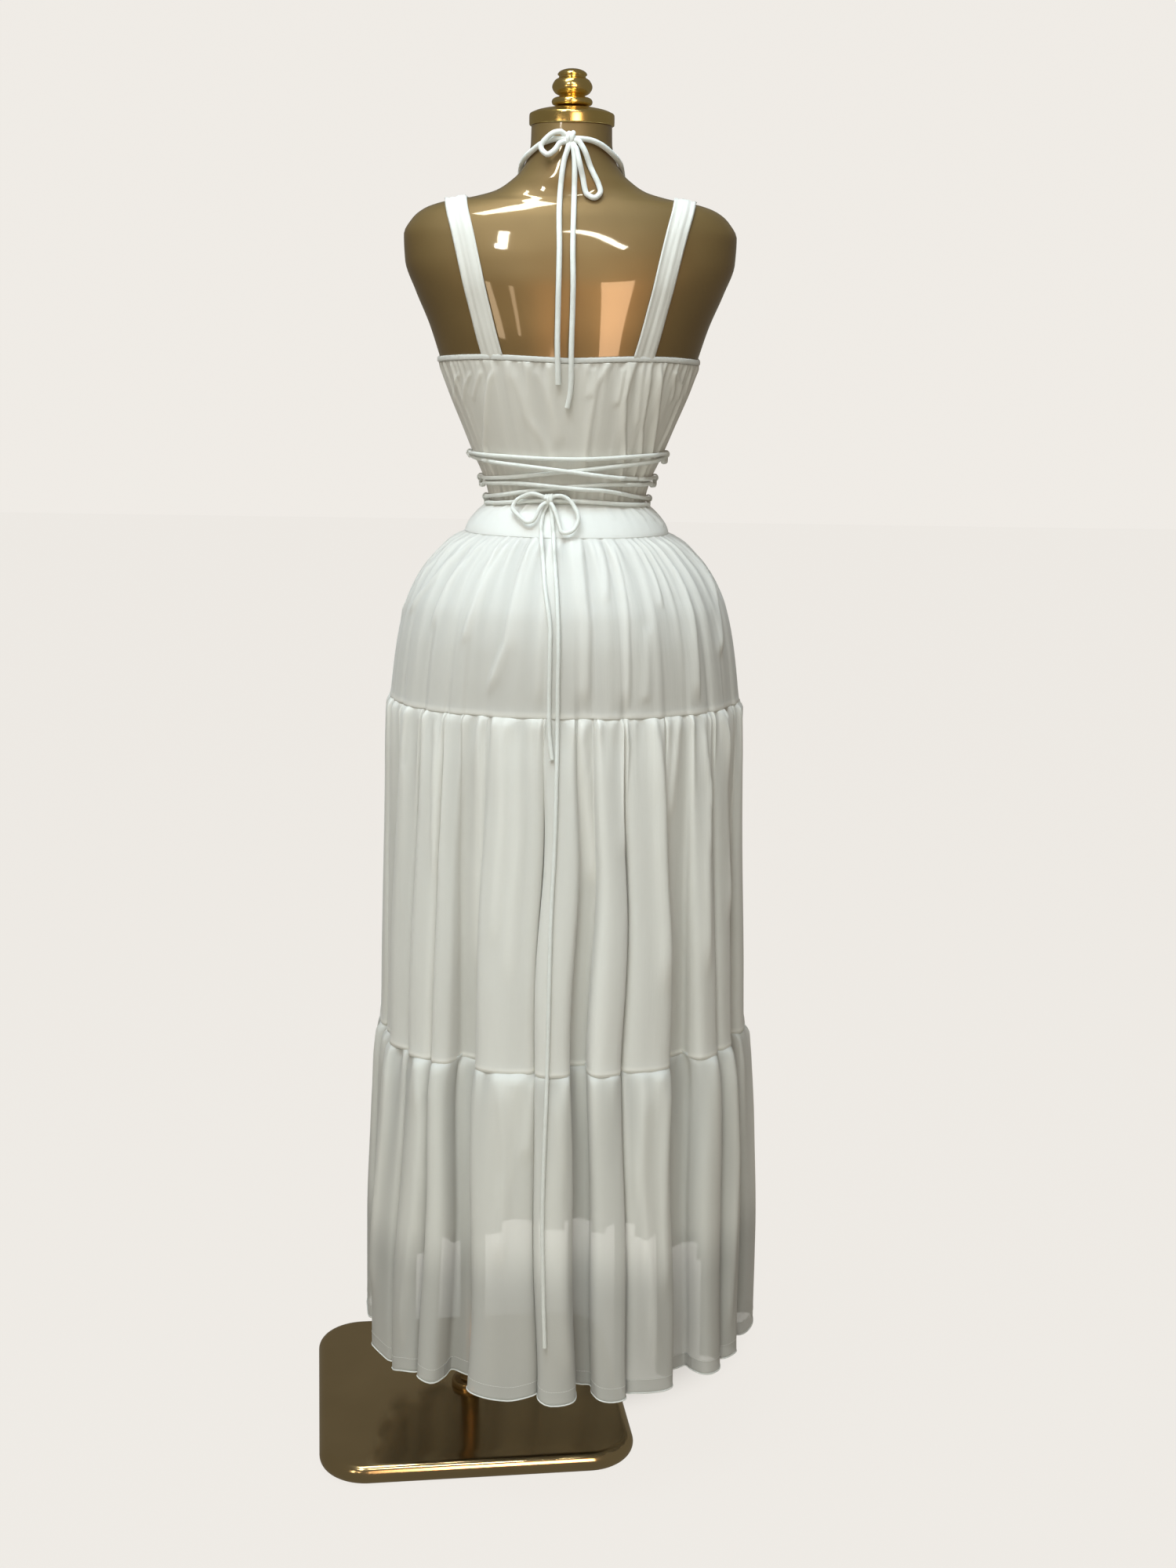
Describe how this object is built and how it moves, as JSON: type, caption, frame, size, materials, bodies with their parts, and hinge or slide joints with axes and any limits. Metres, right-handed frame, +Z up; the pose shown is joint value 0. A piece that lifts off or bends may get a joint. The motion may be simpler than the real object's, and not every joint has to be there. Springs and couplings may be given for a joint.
{
  "type": "tiered maxi dress on a limbless dress form and stand",
  "caption": "Tiered maxi dress with strapped, laced open back and sheer lowest tier, worn by a glossy limbless dress form on a pole and a square foot plate.",
  "frame": {"origin": "under the foot plate, at the middle of its flat underside, on the pole's axis", "axes": "+Z up, +Y towards the dress's laced back, -Y towards its front, +X towards the wearer's left"},
  "size_m": [0.6028, 0.5552, 1.7206],
  "materials": {
    "cloth": "matt off-white crepe chiffon over lining",
    "sheer_cloth": "sheer off-white chiffon",
    "tube_cord": "off-white tube cord",
    "form_coat": "glossy bronze-gold lacquer",
    "polished_gold": "mirror-polished gold plating"
  },
  "bodies": {
    "root": {"bodice_back": "cloth", "bodice_front": "cloth", "binding_back": "cloth", "binding_front": "cloth", "strap_left": "cloth", "strap_right": "cloth", "yoke_back": "cloth", "yoke_front": "cloth", "tier1_back": "cloth", "tier1_front": "cloth", "tier2_back": "cloth", "tier2_front": "cloth", "lining_back": "cloth", "lining_front": "cloth", "tier3_back": "sheer_cloth", "tier3_front": "sheer_cloth", "neck_cord_left": "tube_cord", "neck_cord_right": "tube_cord", "neck_knot": "tube_cord", "neck_loop_left": "tube_cord", "neck_loop_right": "tube_cord", "neck_tail_left": "tube_cord", "neck_tail_right": "tube_cord", "lace_a": "tube_cord", "lace_b_down": "tube_cord", "lace_b_up": "tube_cord", "lace_c_down": "tube_cord", "lace_c_up": "tube_cord", "lace_d_left": "tube_cord", "lace_d_right": "tube_cord", "lace_knot": "tube_cord", "lace_bow_left": "tube_cord", "lace_bow_right": "tube_cord", "lace_tail_short": "tube_cord", "lace_tail_long": "tube_cord", "lace_loop_left_1": "tube_cord", "lace_loop_left_2": "tube_cord", "lace_loop_left_3": "tube_cord", "lace_loop_right_1": "tube_cord", "lace_loop_right_2": "tube_cord", "lace_loop_right_3": "tube_cord", "form_torso": "form_coat", "neck_cap": "polished_gold", "finial": "polished_gold", "pole": "polished_gold", "pole_socket": "polished_gold", "base_plate": "polished_gold"}
  },
  "joints": []
}
